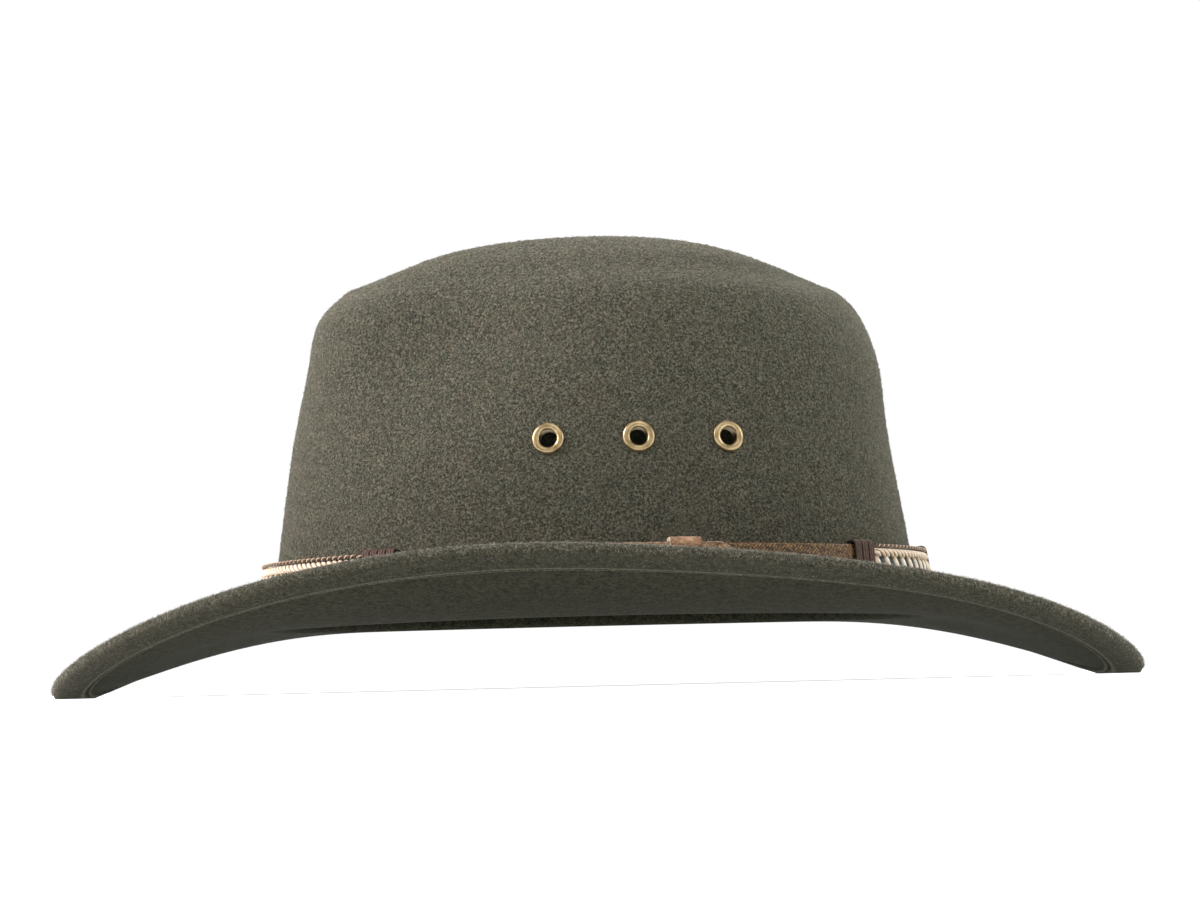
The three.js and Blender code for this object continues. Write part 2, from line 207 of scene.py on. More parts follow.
def brim(angle, share):
    """Upper side of the brim, from the bend at share 0 to the edge at share 1."""
    x, y = head_oval(angle, bend_radius)
    x = x + ((brim_length / 2 - felt_thickness) * np.cos(angle) - x) * share
    y = y + ((brim_width / 2 - felt_thickness) * np.sin(angle) - y) * share
    foot = foot_height(angle)
    fall = (edge_top_at_ends - foot) * np.cos(angle) ** fall_spread_power
    rise = edge_height(angle) - foot - fall
    fallen = np.sin(share * math.pi / 2) ** brim_fall_power
    z = foot + fall * fallen + rise * share**brim_rise_power
    return np.stack([x, y, z], -1)


def unit(vectors):
    return vectors / np.linalg.norm(vectors, axis=-1, keepdims=True)


def out_of(surface, angle, share):
    """Unit vectors that point out of the upper or outer side of a felt surface."""
    step = 0.002
    around = surface(angle + step, share) - surface(angle - step, share)
    up_to, down_to = np.minimum(share + step, 1), np.maximum(share - step, 0)
    along = surface(angle, up_to) - surface(angle, down_to)
    if surface is crown:
        along = -along
    return unit(np.cross(along, around))


def offset(surface, angle, share, distance):
    """Places at a distance out of a felt surface, or into it where it is negative."""
    distance = np.asarray(distance)[..., None]
    return surface(angle, share) + out_of(surface, angle, share) * distance


def srgb(code):
    """An sRGB hex colour as linear red, green, blue and alpha."""
    channels = [int(code[i:i + 2], 16) / 255 for i in (0, 2, 4)]
    return [c / 12.92 if c <= 0.04045 else ((c + 0.055) / 1.055) ** 2.4 for c in channels] + [1.0]


def add(tree, kind, inputs, **settings):
    """Adds a node. An input that is a socket is linked, and any other is set."""
    made = tree.nodes.new(kind)
    for name, value in settings.items():
        setattr(made, name, value)
    for name, value in inputs.items():
        if isinstance(value, bpy.types.NodeSocket):
            tree.links.new(value, made.inputs[name])
        else:
            made.inputs[name].default_value = value
    return made


def new_material(name, settings):
    """A material with its node tree and its shader, on which the settings are made."""
    material = bpy.data.materials.new(name)
    material.use_nodes = True
    tree = material.node_tree
    shown = tree.nodes["Principled BSDF"]
    for key, value in settings.items():
        shown.inputs[key].default_value = value
    return material, tree, shown


def noise(tree, place, size, detail=2.0, distortion=0.0):
    """Noise whose blobs are about as wide as the size."""
    inputs = {"Vector": place, "Scale": 1 / size, "Detail": detail, "Distortion": distortion}
    return add(tree, "ShaderNodeTexNoise", inputs).outputs["Fac"]


def mix(tree, share, first, second):
    """First where the share is 0, second where it is 1."""
    made = add(tree, "ShaderNodeMix", {0: share, 6: first, 7: second}, data_type="RGBA")
    return made.outputs[2]


def spread(tree, value, low, high, to_low=0.0, to_high=1.0):
    """Takes low to to_low and high to to_high, and stays between them."""
    inputs = {0: value, 1: low, 2: high, 3: to_low, 4: to_high}
    return add(tree, "ShaderNodeMapRange", inputs).outputs[0]


def lines_of(tree, value, width):
    """1 on thin curls where the value crosses its middle, and 0 elsewhere."""
    away = add(tree, "ShaderNodeMath", {0: value, 1: 0.5}, operation="SUBTRACT").outputs[0]
    size = add(tree, "ShaderNodeMath", {0: away}, operation="ABSOLUTE").outputs[0]
    return spread(tree, size, 0.0, width, 1.0, 0.0)


def felt_material():
    """Wool felt, fulled, with a nap raised by brushing: a dull heathered green with paler loose
    fibres.

    Under the brim and inside, where it has no nap, it is smoother, and painted shade darkens it
    there and round the lower side of the rolled edge.
    """
    material, tree, shader = new_material("wool_felt", {"Roughness": 0.95, "IOR": 1.45})
    shader.inputs["Specular IOR Level"].default_value = 0.2
    shader.inputs["Sheen Roughness"].default_value = 0.4
    shader.inputs["Sheen Tint"].default_value = srgb("bdb8a4")
    place = add(tree, "ShaderNodeTexCoord", {}).outputs["Object"]
    brushed_and_lit = add(tree, "ShaderNodeAttribute", {}, attribute_name="brushed_and_lit").outputs["Fac"]
    cloud = spread(tree, noise(tree, place, 5 * mm, 4.0), 0.4, 0.6)
    colour = mix(tree, cloud, srgb("44463b"), srgb("4a473a"))
    grain = noise(tree, place, 0.62 * mm, 4.0, 0.8)
    colour = mix(tree, spread(tree, grain, 0.4, 0.52, 0.85, 0.0), colour, srgb("24251e"))
    colour = mix(tree, spread(tree, grain, 0.5, 0.64, 0.0, 0.8), colour, srgb("716e5e"))
    relief = grain
    for size, width, shade in (
        (1.4 * mm, 0.02, "827e6d"),
        (2.2 * mm, 0.014, "9a9585"),
    ):
        fibre = lines_of(tree, noise(tree, place, size, 3.0, 1.5), width)
        some = spread(tree, noise(tree, place, 2.5 * size, 1.0), 0.5, 0.65)
        fibre = add(tree, "ShaderNodeMath", {0: fibre, 1: some}, operation="MULTIPLY").outputs[0]
        colour = mix(tree, fibre, colour, srgb(shade))
        relief = add(tree, "ShaderNodeMath", {0: relief, 1: fibre}, operation="ADD").outputs[0]
    # Painted shade: where the nap share is low, the felt takes this much darker colour.
    streak = noise(tree, place, 1.5 * mm, 4.0, 1.5)
    smooth_shaded = spread(tree, streak, 0.38, 0.62)
    smooth_shaded = mix(tree, smooth_shaded, srgb("16170e"), srgb("353527"))
    colour = mix(tree, brushed_and_lit, smooth_shaded, colour)
    height = spread(tree, brushed_and_lit, 0.0, 1.0, 0.5, 0.9)
    bump = add(tree, "ShaderNodeBump", {"Height": relief, "Distance": 0.3 * mm, "Strength": height})
    tree.links.new(colour, shader.inputs["Base Color"])
    tree.links.new(bump.outputs[0], shader.inputs["Normal"])
    tree.links.new(spread(tree, brushed_and_lit, 0.0, 1.0, 0.03, 0.25), shader.inputs["Sheen Weight"])
    return material


def nap_material(name, dark, light):
    """Single wool fibres that stand out of the felt."""
    material, tree, shader = new_material(name, {"Roughness": 0.7, "IOR": 1.55})
    place = add(tree, "ShaderNodeTexCoord", {}).outputs["Object"]
    shade = spread(tree, noise(tree, place, 1.2 * mm, 2.0), 0.4, 0.62)
    tree.links.new(mix(tree, shade, srgb(dark), srgb(light)), shader.inputs["Base Color"])
    return material


def brass_material():
    """Antique brass, pressed and tumbled: satin, browner where it is tarnished."""
    material, tree, shader = new_material("antique_brass", {"Metallic": 1.0, "Roughness": 0.34})
    place = add(tree, "ShaderNodeTexCoord", {}).outputs["Object"]
    tarnish = spread(tree, noise(tree, place, 3 * mm, 3.0), 0.35, 0.7)
    colour = mix(tree, tarnish, srgb("c0ab84"), srgb("96815a"))
    rough = spread(tree, noise(tree, place, 0.8 * mm, 2.0), 0.3, 0.7, 0.28, 0.44)
    tree.links.new(colour, shader.inputs["Base Color"])
    tree.links.new(rough, shader.inputs["Roughness"])
    return material


def cord_material(name, light, dark, groove_shade, roughness=0.6, patch=1.5 * mm):
    """A thin leather cord: waxy and darker in places, with painted shade where it dives between
    others.
    """
    material, tree, shader = new_material(name, {"Roughness": roughness, "IOR": 1.45})
    place = add(tree, "ShaderNodeTexCoord", {}).outputs["Object"]
    worn = spread(tree, noise(tree, place, patch, 3.0), 0.35, 0.68)
    colour = mix(tree, worn, srgb(light), srgb(dark))
    proud = add(tree, "ShaderNodeAttribute", {}, attribute_name="proud").outputs["Fac"]
    # Painted shade: the groove colour where a point stands least far out.
    colour = mix(tree, spread(tree, proud, 0.3, 0.85), srgb(groove_shade), colour)
    tree.links.new(colour, shader.inputs["Base Color"])
    grain = noise(tree, place, 0.3 * mm, 2.0)
    bump = add(tree, "ShaderNodeBump", {"Height": grain, "Distance": 0.08 * mm, "Strength": 0.5})
    tree.links.new(bump.outputs[0], shader.inputs["Normal"])
    return material


def make_piece(name, vertices, faces, materials, stands_for=()):
    """A smooth mesh object that rides with the hat."""
    mesh = bpy.data.meshes.new(name)
    mesh.from_pydata(np.asarray(vertices).tolist(), [], faces)
    for material in materials:
        mesh.materials.append(material)
    mesh.shade_smooth()
    piece = bpy.data.objects.new(name, mesh)
    bpy.context.scene.collection.objects.link(piece)
    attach(piece, "root")
    if stands_for:
        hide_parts(*stands_for)
    return piece


def grid_faces(rows, columns, closed_rows=False):
    """Quads between neighbours in rows of points. Each row closes on itself."""
    row = np.arange(rows if closed_rows else rows - 1)[:, None]
    column = np.arange(columns)[None, :]
    here, beside = row * columns, (row + 1) % rows * columns
    following = (column + 1) % columns
    corners = [here + column, beside + column, beside + following, here + following]
    return np.stack(corners, -1).reshape(-1, 4)


# Points round each ring of the felt, and rings in each stretch from the crown's top down,
# round the edge and back up inside.
felt_sides = 288
crown_ring_count = 89
bend_ring_count = 7
brim_ring_count = 38
fold_ring_count = 13
under_brim_ring_count = 29
inner_bend_ring_count = 5
inner_crown_ring_count = 55
angles_round = np.arange(felt_sides) / felt_sides * full_turn

# Underside of the folded edge: share of its width from the fold, felt below the top of the
# brim, and how much of the nap is left, which also sets painted light on the ridges and
# painted shade in the grooves. Stitches pull it in before its cut edge.
welt_rows = [
    (0.1, 4.1 * mm, 0.2),
    (0.3, 4.3 * mm, 0.1),
    (0.48, 4.2 * mm, 0.05),
    (0.6, 4.0 * mm, 0.1),
    (0.65, 4.0 * mm, 0.6),
    (0.69, 3.9 * mm, 0.9),
    (0.74, 3.7 * mm, 0.6),
    (0.78, 2.7 * mm, 0.0),
    (0.82, 2.5 * mm, 0.0),
    (0.86, 2.9 * mm, 0.2),
    (0.89, 3.3 * mm, 0.7),
    (0.93, 3.2 * mm, 0.6),
    (0.96, 2.8 * mm, 0.1),
    (0.985, 2.2 * mm, 0.0),
    (1.01, 2.05 * mm, 0.0),
]
past_welt = 1.02


def welt_share(inwards):
    """Share of the brim at a distance in from where the fold begins."""
    edge, inner = brim(angles_round, 1.0), head_oval(angles_round, bend_radius)
    across = np.hypot(edge[:, 0] - inner[0], edge[:, 1] - inner[1])
    return 1 - inwards / across


def felt_rings():
    """Rings of points from the crown's top over the brim, round its edge and back inside."""
    rings = []
    flat = np.ones(felt_sides)
    for share in np.linspace(1, 0, crown_ring_count + 1)[1:]:
        rings.append(crown(angles_round, share * flat))
    for share in np.linspace(0, 1, bend_ring_count + 1)[1:]:
        rings.append(bend(angles_round, share * flat))
    for share in np.linspace(0, 1, brim_ring_count + 2)[1:-1]:
        rings.append(brim(angles_round, share * flat))
    just_inside = 0.998
    outwards = unit(brim(angles_round, flat) - brim(angles_round, just_inside * flat))
    for turn in np.linspace(0, math.pi, fold_ring_count):
        depth = felt_thickness * (1 - math.cos(turn))
        fold = offset(brim, angles_round, flat, -depth * flat)
        rings.append(fold + outwards * felt_thickness * math.sin(turn))
    for across, depth, nap in welt_rows:
        share = welt_share(across * welt_width)
        rings.append(offset(brim, angles_round, share, -depth * flat))
    inner = welt_share(past_welt * welt_width)
    for step in np.linspace(1, 0, under_brim_ring_count + 1)[:-1]:
        rings.append(offset(brim, angles_round, inner * step, -felt_thickness * flat))
    for share in np.linspace(1, 0, inner_bend_ring_count + 1)[:-1]:
        rings.append(offset(bend, angles_round, share * flat, -felt_thickness * flat))
    for share in np.linspace(0, 1, inner_crown_ring_count + 1)[:-1]:
        rings.append(offset(crown, angles_round, share * flat, -felt_thickness * flat))
    return np.array(rings)


def brushed_and_lit_share(count):
    """Share of nap on each ring, full outside and wearing off round the edge; where it is low the
    felt gets painted shade.
    """
    outside = [1.0] * (crown_ring_count + bend_ring_count + brim_ring_count)
    fold = np.linspace(1.0, welt_rows[0][2], fold_ring_count).tolist()
    under = [nap for across, depth, nap in welt_rows]
    inside = [0.0] * (count - len(outside) - len(fold) - len(under))
    return np.array(outside + fold + under + inside)


def make_felt(material):
    rings = felt_rings()
    rings[..., 2] = np.maximum(rings[..., 2], 0)
    count = len(rings)
    top = crown(np.zeros(1), np.ones(1))[0]
    inside = top - [0, 0, felt_thickness]
    vertices = np.concatenate([rings.reshape(-1, 3), [top, inside]])
    faces = grid_faces(count, felt_sides).tolist()
    last = (count - 1) * felt_sides
    for i in range(felt_sides):
        j = (i + 1) % felt_sides
        faces.append((count * felt_sides, i, j))
        faces.append((count * felt_sides + 1, last + j, last + i))
    felt = make_piece("felt_crown_and_brim", vertices, faces, [material], ["felt_body"])
    # Nap share on each point. The material also uses it for painted shade where it is low.
    brushed_and_lit = np.concatenate([np.repeat(brushed_and_lit_share(count), felt_sides), [1, 0]])
    nap = felt.data.attributes.new("brushed_and_lit", "FLOAT", "POINT")
    nap.data.foreach_set("value", brushed_and_lit.astype(np.float32))
    cut_eyelet_holes(felt)
    return rings


# Nap: piece, rings it grows on, number of fibres, material, seed, longest fibre and the
# most that a fibre rises.
brim_start = crown_ring_count + bend_ring_count
fold_start = brim_start + brim_ring_count
fold_end = fold_start + fold_ring_count
naps = [
    ("crown_nap", (0, crown_ring_count), 44000, "wool", 1, 1.5 * mm, 0.6),
    ("brim_nap", (brim_start, fold_start), 20000, "wool", 2, 1.5 * mm, 0.7),
    # The paler fibres along the top of the rolled edge are partly a painted highlight, and the
    # darker fibres below it painted shade.
    ("edge_nap", (fold_start - 2, fold_start + 9), 32000, "pale", 3, 1.4 * mm, 0.9),
    ("lower_edge_nap", (fold_start + 8, fold_end + 3), 14000, "dark", 4, 1.2 * mm, 0.7),
]

# The shortest fibre, the radius of a fibre, and the room that the nap leaves round other
# pieces. Real wool is finer, a fiftieth of a millimetre thick.
shortest_fibre = 0.5 * mm
fibre = 0.055 * mm
edge_fibre = 0.05 * mm
near_wall = 1.12
nap_room = 0.8 * mm
floor_room = 1.5 * mm
longest_on_band = 2.2 * mm


def make_nap(name, rings, count, material, seed, longest, most_rise):
    """Loose fibres that lie over the felt, each a long thin closed spike."""
    on_edge = "edge" in name
    radius, least_rise = (edge_fibre, 0.15) if on_edge else (fibre, 0.1)
    chance = np.random.default_rng(seed)
    a, b = rings[:-1], rings[1:]
    c = np.roll(a, -1, axis=1)
    cross = np.cross(b - a, c - a).reshape(-1, 3)
    area = np.linalg.norm(cross, axis=1)
    picked = chance.choice(len(area), size=count, p=area / area.sum())
    share = chance.random((2, count, 1))
    corner = a.reshape(-1, 3)[picked]
    down = (b - a).reshape(-1, 3)[picked] * share[0]
    place = corner + down + (c - a).reshape(-1, 3)[picked] * share[1]
    normal = unit(cross[picked])
    flat = unit(np.cross(normal, unit(chance.normal(size=(count, 3)))))
    lift = chance.uniform(least_rise, most_rise, (count, 1))
    reach = chance.uniform(shortest_fibre, longest, (count, 1))
    keep = clear_of_trim(place)
    place, normal, flat = place[keep], normal[keep], flat[keep]
    tip = place + unit(flat + normal * lift[keep]) * reach[keep]
    side = np.cross(normal, flat)
    foot = place - normal * radius
    ridge = place + normal * 1.6 * radius
    points = np.stack([foot + side * radius, foot - side * radius, ridge, tip], 1)
    start = np.arange(len(points))[:, None, None] * 4
    spike = np.array([[0, 1, 2], [0, 3, 1], [1, 3, 2], [2, 3, 0]])
    faces = (start + spike).reshape(-1, 3).tolist()
    piece = make_piece(name, points.reshape(-1, 3), faces, [material])
    piece.data.shade_flat()
    mesh_facing_out(piece.data)


def clear_of_trim(place):
    """True where a fibre has room: off the floor, the band and the eyelets."""
    above_band = foot_at_ends + bend_radius + band_rise + band_height + longest_on_band
    across = np.hypot(place[:, 0] / (head_length / 2), place[:, 1] / (head_width / 2))
    low = foot_at_ends - 1 * mm
    beside_band = (across < near_wall) & (place[:, 2] < above_band) & (place[:, 2] > low)
    clear = (place[:, 2] > floor_room) & ~beside_band
    for node in eyelet_nodes:
        middle, axis = eyelet_place(node)
        clear &= np.linalg.norm(place - middle, axis=1) > flange_width / 2 + nap_room
    return clear


def eyelet_place(node):
    """Middle of an eyelet's outer rim and the direction it faces, from its solid."""
    points = np.array([tuple(v.co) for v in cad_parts[node].data.vertices])
    middle = points.mean(0)
    axis = np.linalg.svd(points - middle)[2][2]
    axis = axis * np.sign(axis[1] * middle[1])
    heights = (points - middle) @ axis
    return middle + axis * (heights.max() - flange_height), axis


def turning(place, axis):
    """Matrix that stands a turned piece on the felt."""
    turn = Vector(axis).to_track_quat("Z", "Y").to_matrix().to_4x4()
    return Matrix.Translation(Vector(place)) @ turn


def cut_eyelet_holes(felt):
    """Takes a round hole out of the felt for each eyelet."""
    sides = 32
    hole_radius = bore_width / 2 + eyelet_metal + band_gap
    rim = np.arange(sides) / sides * full_turn
    circle = np.stack([np.cos(rim), np.sin(rim)], -1) * hole_radius
    vertices, faces = [], []
    for node in eyelet_nodes:
        stand = turning(*eyelet_place(node))
        start = len(vertices)
        for height in (-4 * felt_thickness, 2 * felt_thickness):
            vertices += [stand @ Vector((x, y, height)) for x, y in circle]
        faces += (grid_faces(2, sides)[:, ::-1] + start).tolist()
        faces.append([start + i for i in reversed(range(sides))])
        faces.append([start + sides + i for i in range(sides)])
    cutter = bpy.data.objects.new("cutter", bpy.data.meshes.new("cutter"))
    cutter.data.from_pydata(vertices, [], faces)
    bpy.context.scene.collection.objects.link(cutter)
    hole = felt.modifiers.new("holes", "BOOLEAN")
    hole.object = cutter
    hole.operation = "DIFFERENCE"
    hole.solver = "EXACT"
    apply_modifiers(felt)
    bpy.data.objects.remove(cutter)


def apply_modifiers(piece):
    """Keeps the result of an object's modifiers as its own mesh."""
    graph = bpy.context.evaluated_depsgraph_get()
    mesh = bpy.data.meshes.new_from_object(piece.evaluated_get(graph))
    piece.modifiers.clear()
    piece.data = mesh


def make_eyelet(node, material):
    """A tube rolled over into a round flange outside and a flat one inside."""
    bore, rim = bore_width / 2, flange_width / 2
    tube_outside = bore + eyelet_metal
    crest = (bore + rim) / 2
    lip = 0.1 * mm
    under = lip / 2 - eyelet_seat / 4
    section = [(bore, -felt_thickness - eyelet_metal)]
    for turn in np.linspace(0, math.pi, 15):
        reach = math.cos(math.pi - turn)
        height = math.sin(turn) ** 0.8 * (flange_height - lip) + lip
        section.append((crest + reach * (rim - crest), height))
    section += [
        (rim - lip, under),
        (tube_outside, under),
        (tube_outside, eyelet_metal - felt_thickness),
        (rim, eyelet_metal - felt_thickness),
        (rim, -felt_thickness),
        (tube_outside, -felt_thickness - eyelet_metal),
    ]
    sides = 48
    stand = turning(*eyelet_place(node))
    vertices = []
    for radius, height in section:
        for i in range(sides):
            turn = i / sides * full_turn
            point = Vector((radius * math.cos(turn), radius * math.sin(turn), height))
            vertices.append(stand @ point)
    faces = grid_faces(len(section), sides, closed_rows=True)
    make_piece("rolled_" + node, vertices, faces, [material], [node])


# The band is made flat, as length along it, distance out of the felt and height, and
# then bent round the crown.
band_angles = np.radians(np.arange(0, 721, 1.0))
height_table = np.linspace(0, 1, 4000)
height_of_share = crown_profile(height_table)[:, 0] * crown_height


def on_band(angle, out, up):
    """Places at a distance out of the crown and a height above the band's lower edge."""
    height = band_rise + up
    share = np.interp(np.maximum(height, 0), height_of_share, height_table)
    point = offset(crown, angle, share, out)
    point[..., 2] += np.minimum(height, 0)
    return point


def band_line():
    """The band's outside along its lower edge."""
    flat = np.ones(len(band_angles))
    return on_band(band_angles, plait_thickness * flat, 0 * flat)


band_steps = np.linalg.norm(np.diff(band_line(), axis=0), axis=1)
band_lengths = np.concatenate([[0], np.cumsum(band_steps)])


def length_at(degrees):
    """Length along the band's outside from the back of the hat."""
    return float(np.interp(math.radians(degrees), band_angles, band_lengths))


def bent(points):
    """Flat band points, bent round the crown."""
    angle = np.interp(points[..., 0], band_lengths, band_angles)
    return on_band(angle, points[..., 1], points[..., 2])


def tube(path, width, thickness, sides, reference):
    """Rings of points round a path. The width lies across the reference direction."""
    along = unit(np.gradient(path, axis=0))
    outer = unit(np.cross(np.broadcast_to(reference, along.shape), along))
    side = np.cross(along, outer)
    turn = np.arange(sides) / sides * full_turn
    across = np.asarray(width)[..., None, None] / 2 * np.cos(turn)[None, :, None]
    rise = np.asarray(thickness)[..., None, None] / 2 * np.sin(turn)[None, :, None]
    return path[:, None] + side[:, None] * across + outer[:, None] * rise


class Strands:
    """Closed bodies gathered into one mesh, each with the number of its material."""

    def __init__(self):
        self.vertices, self.faces, self.finishes, self.count = [], [], [], 0
        self.prouds = []

    def add(self, rings, finish=0, proud=1.0):
        rows, columns = rings.shape[:2]
        faces = grid_faces(rows, columns) + self.count
        first = list(range(self.count, self.count + columns))
        last = [i + (rows - 1) * columns for i in first]
        self.vertices.append(bent(rings).reshape(-1, 3))
        self.faces += faces.tolist() + [first, last[::-1]]
        self.finishes += [finish] * (len(faces) + 2)
        self.prouds.append(np.broadcast_to(proud, (rows, columns)).reshape(-1))
        self.count += rows * columns

    def piece(self, name, materials, slot, stands_for):
        vertices = np.concatenate(self.vertices)
        made = make_piece(name, vertices, self.faces, materials, stands_for)
        made.data.polygons.foreach_set("material_index", self.finishes)
        mesh_facing_out(made.data)
        # How far each point stands out, which the cord materials turn into painted shade where it
        # is low.
        proud = made.data.attributes.new("proud", "FLOAT", "POINT")
        proud.data.foreach_set("value", np.concatenate(self.prouds).astype(np.float32))
        return made


def mesh_facing_out(mesh):
    """Turns every closed body of a mesh to face out."""
    work = bmesh.new()
    work.from_mesh(mesh)
    bmesh.ops.recalc_face_normals(work, faces=work.faces)
    work.to_mesh(mesh)
    work.free()


def section_loop(inner, outer, bottom, top, radius, steps=5):
    """A rounded rectangle in distance out of the felt and height."""
    corners = (
        (outer - radius, bottom + radius, -90),
        (outer - radius, top - radius, 0),
        (inner + radius, top - radius, 90),
        (inner + radius, bottom + radius, 180),
    )
    points = []
    for out, up, start in corners:
        for turn in np.radians(np.linspace(start, start + 90, steps)):
            points.append((out + radius * math.cos(turn), up + radius * math.sin(turn)))
    return np.array(points)


# Lace wraps: place, angle, turns and lean.
wraps = [
    ("front", front_wrap_angle, 4, -lace_lean),
    ("back", back_wrap_angle, 3, lace_lean),
    ("rear", rear_wrap_angle, 6, lace_lean),
]

# The plait: a brown and fair cord and a cream rope along each edge, and leaning cords
# between. The numbers are the places of its materials.
brown_finish, cream_finish, teal_finish, core_finish, fair_finish = range(5)
edge_cord = 1.2 * mm
cream_rope = 2.8 * mm
diagonal_rows = 2
diagonal_height = (band_height - 2 * edge_cord - 2 * cream_rope) / diagonal_rows
diagonal_pitch = 2.6 * mm
edge_cord_pitch = 2.6 * mm
cream_rope_pitch = 7.8 * mm
core_thickness = 2.8 * mm
core_margin = 0.5 * mm
press_length = 2 * mm
finest_step = 0.15 * mm


def squeeze(length):
    """Share by which the wraps press the band in at places along it."""
    pressed = np.zeros_like(length)
    for name, angle, turns, lean in wraps:
        half = (turns * lace_width + lace_lean + press_length) / 2
        for full in (0, 360):
            away = np.abs(length - length_at(angle + full)) - half
            pressed = np.maximum(pressed, np.clip(0.5 - away / press_length, 0, 1))
    return pressed


def pressed_in(rings):
    """Strands pushed towards the middle of the band where a lace is wound round it."""
    share = squeeze(rings[..., 0])
    flatter, lower = 0.42, 0.97
    middle = band_gap + lace_thickness + 1.2 * mm
    full = band_gap + plait_thickness / 2
    out = rings[..., 1]
    squeezed = middle + (out - full) * flatter
    low = band_height / 2 + (rings[..., 2] - band_height / 2) * lower
    result = rings.copy()
    result[..., 1] = out + (squeezed - out) * share
    result[..., 2] += (low - rings[..., 2]) * share
    return result


def add_rope(strands, start, end, up, size, pitch, finishes, twist):
    """Cords laid round each other in a rope, with painted shade in the grooves between."""
    count = len(finishes)
    thick = size > 2 * mm
    length = np.arange(start, end, size / 6 + finest_step)
    sides = 8 if thick else 6
    cord = size / 2 * (0.5 if count > 2 else 0.54)
    reach = size / 2 - cord
    middle = band_gap + plait_thickness - size / 2
    for number, finish in enumerate(finishes):
        turn = twist * length / pitch * full_turn + number / count * full_turn
        out, rise = middle + reach * np.cos(turn), up + reach * np.sin(turn)
        path = np.stack([length, out, rise], -1)
        rings = tube(path, 2 * cord, 2 * cord, sides, (0, 1, 0))
        # Points near the rope's middle, in the grooves, get painted shade.
        away = np.hypot(rings[..., 1] - middle, rings[..., 2] - up) / (size / 2)
        strands.add(pressed_in(rings), finish, np.clip((away - 0.6) / 0.35, 0, 1))


def add_diagonals(strands, start, end, low, lean):
    """Short leaning cords, cream and teal by turns, that dive under the rows beside them."""
    lean_length, bow, climb, thickness = 1.2 * mm, 1.0 * mm, 1.05 * mm, 1.7 * mm
    end_width = 1.2 * mm
    steps = np.linspace(0, 1, 8)
    arch = np.sin(steps * math.pi)
    sweep = lean * ((steps - 0.5) * lean_length + arch * bow)
    up = low + (steps * 1.2 - 0.1) * diagonal_height
    places = np.arange(start + diagonal_pitch, end - diagonal_pitch, diagonal_pitch)
    for number, place in enumerate(places):
        pale = number % 2 == 0
        sunk, swell = (1.9 * mm, 1.1 * mm) if pale else (2.1 * mm, 0.9 * mm)
        out = band_gap + plait_thickness - sunk + climb * arch**0.6
        path = np.stack([place + sweep, out, up], -1)
        width = end_width + swell * arch
        rings = tube(path, width, thickness * np.ones(8), 8, (1, 0, 0))
        # Painted shade darkens each cord towards its ends, where it dives under the rows beside it.
        proud = np.broadcast_to((arch**0.7)[:, None], rings.shape[:2])
        strands.add(pressed_in(rings), cream_finish if pale else teal_finish, proud)


def make_plait(materials):
    """The woven band: leather cords, with a brown and fair one along each edge."""
    strands = Strands()
    start = length_at(back_wrap_angle)
    end = length_at(front_wrap_angle + 360)
    edge_finishes, rope_finishes = (brown_finish, fair_finish), (cream_finish,) * 3
    for side, up in ((-1, edge_cord / 2), (1, band_height - edge_cord / 2)):
        add_rope(strands, start, end, up, edge_cord, edge_cord_pitch, edge_finishes, side)
    for side, up in (
        (-1, edge_cord + cream_rope / 2),
        (1, band_height - edge_cord - cream_rope / 2),
    ):
        add_rope(strands, start, end, up, cream_rope, cream_rope_pitch, rope_finishes, -side)
    for row in range(diagonal_rows):
        low = edge_cord + cream_rope + row * diagonal_height
        add_diagonals(strands, start, end, low, -1 if row % 2 else 1)
    core = section_loop(
        band_gap, band_gap + core_thickness, core_margin, band_height - core_margin, 2 * core_margin
    )
    length = np.arange(start, end, 2 * mm)
    rings = np.zeros((len(length), len(core), 3))
    rings[..., 0] = length[:, None]
    rings[..., 1:] = core[None]
    strands.add(pressed_in(rings), core_finish)
    strands.piece("plaited_band", materials, "plait", ["band_plait"])


strap_cord = 1.25 * mm
strap_relief = 0.5 * mm
strap_edge = 0.4 * mm
strap_step = 0.36 * mm


def make_strap(material):
    """A strap of fine cords, plaited crosswise."""
    start, end = length_at(front_wrap_angle), length_at(back_wrap_angle)
    length = np.arange(start, end, strap_step)
    front = band_gap + strap_thickness - strap_relief
    outline = section_loop(band_gap, front, strap_edge, band_height - strap_edge, 1 * mm, 4)
    outline = evenly(outline, 120)
    outward = outline_normals(outline)
    girth = 2 * (band_height + strap_thickness)
    round_it = np.linspace(0, girth, len(outline), endpoint=False)
    first = (length[:, None] + round_it[None]) / strap_cord
    second = (length[:, None] - round_it[None]) / strap_cord
    over = (np.floor(first) + np.floor(second)) % 2 == 0
    across = np.where(over, first, second) % 1
    along = np.where(over, second, first) % 1
    height = np.sqrt(np.sin(math.pi * across)) * (0.45 + 0.55 * np.sin(math.pi * along))
    rings = np.zeros((len(length), len(outline), 3))
    rings[..., 0] = length[:, None]
    rings[..., 1:] = outline[None] + outward[None] * (height * strap_relief)[..., None]
    rings[..., 1] = np.maximum(rings[..., 1], band_gap)
    strands = Strands()
    strands.add(pressed_in_strap(rings))
    piece = strands.piece("plaited_strap", [material], "strap_leather", ["band_strap"])
    # The cords' height, which the material turns into painted shade where they cross under each
    # other.
    depth = piece.data.attributes.new("cord_height", "FLOAT", "POINT")
    depth.data.foreach_set("value", height.reshape(-1).astype(np.float32))


def pressed_in_strap(rings):
    """The strap's points, flatter where a lace is wound round it."""
    flatter = 0.55
    share = squeeze(rings[..., 0])
    result = rings.copy()
    room = band_gap + lace_thickness + band_gap
    squeezed = room + (rings[..., 1] - band_gap) * flatter
    result[..., 1] += (squeezed - rings[..., 1]) * share
    return result


